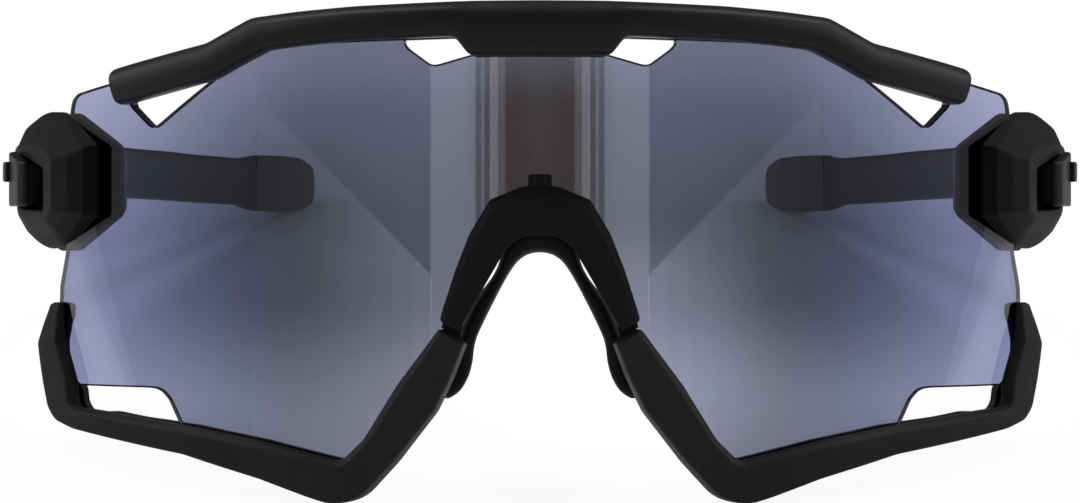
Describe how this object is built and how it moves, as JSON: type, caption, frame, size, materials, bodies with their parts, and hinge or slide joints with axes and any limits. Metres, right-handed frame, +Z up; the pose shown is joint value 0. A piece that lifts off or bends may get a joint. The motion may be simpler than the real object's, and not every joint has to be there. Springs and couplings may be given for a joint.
{
  "type": "shield sports glasses",
  "caption": "Wrap-around shield glasses with a tinted one-piece lens in a frame of clipped pieces, with a soft nose saddle, sliding hinge locks and folding temples with rubber tips.",
  "frame": {"origin": "on the table under the middle of the bounding box, with the glasses resting open on the two lower rails and the two temple tips", "axes": "+X to the right as seen from the front in the picture, +Y back toward the ears, +Z up from the table"},
  "size_m": [0.1488, 0.1656, 0.0634],
  "materials": {
    "frame": "satin black moulded nylon",
    "lens": "polished see-through polycarbonate with a smoke-violet tint",
    "rubber": "matt soft rubber",
    "steel": "plain steel"
  },
  "bodies": {
    "front": {"brow_bar": "frame", "hinge_block_left": "frame", "hinge_block_right": "frame", "hinge_carrier_left": "frame", "hinge_carrier_right": "frame", "hinge_screw_left": "steel", "hinge_screw_right": "steel", "lock_spring_left": "steel", "lock_spring_right": "steel", "lower_rail_left": "frame", "lower_rail_right": "frame", "nose_bridge": "frame", "nose_pad": "rubber", "shield_lens": "lens"},
    "temple_arm_left": {"temple_left": "frame", "temple_grip_left": "rubber"},
    "temple_arm_right": {"temple_right": "frame", "temple_grip_right": "rubber"},
    "lock_left": {"slide_lock_left": "frame"},
    "lock_right": {"slide_lock_right": "frame"}
  },
  "joints": [
    {"name": "temple_fold_left", "type": "hinge", "parent": "front", "child": "temple_arm_left", "pos_m": [-0.06777, -0.02968, 0.03116], "axis": [0, -0.2537, -0.9673], "range_deg": [0, 86]},
    {"name": "temple_fold_right", "type": "hinge", "parent": "front", "child": "temple_arm_right", "pos_m": [0.06777, -0.02968, 0.03116], "axis": [0, 0.2537, 0.9673], "range_deg": [0, 70]},
    {"name": "lock_slide_left", "type": "slide", "parent": "front", "child": "lock_left", "axis": [0.4226, -0.8767, 0.2299], "range_m": [0, 0.0025]},
    {"name": "lock_slide_right", "type": "slide", "parent": "front", "child": "lock_right", "axis": [-0.4226, -0.8767, 0.2299], "range_m": [0, 0.0025]}
  ]
}
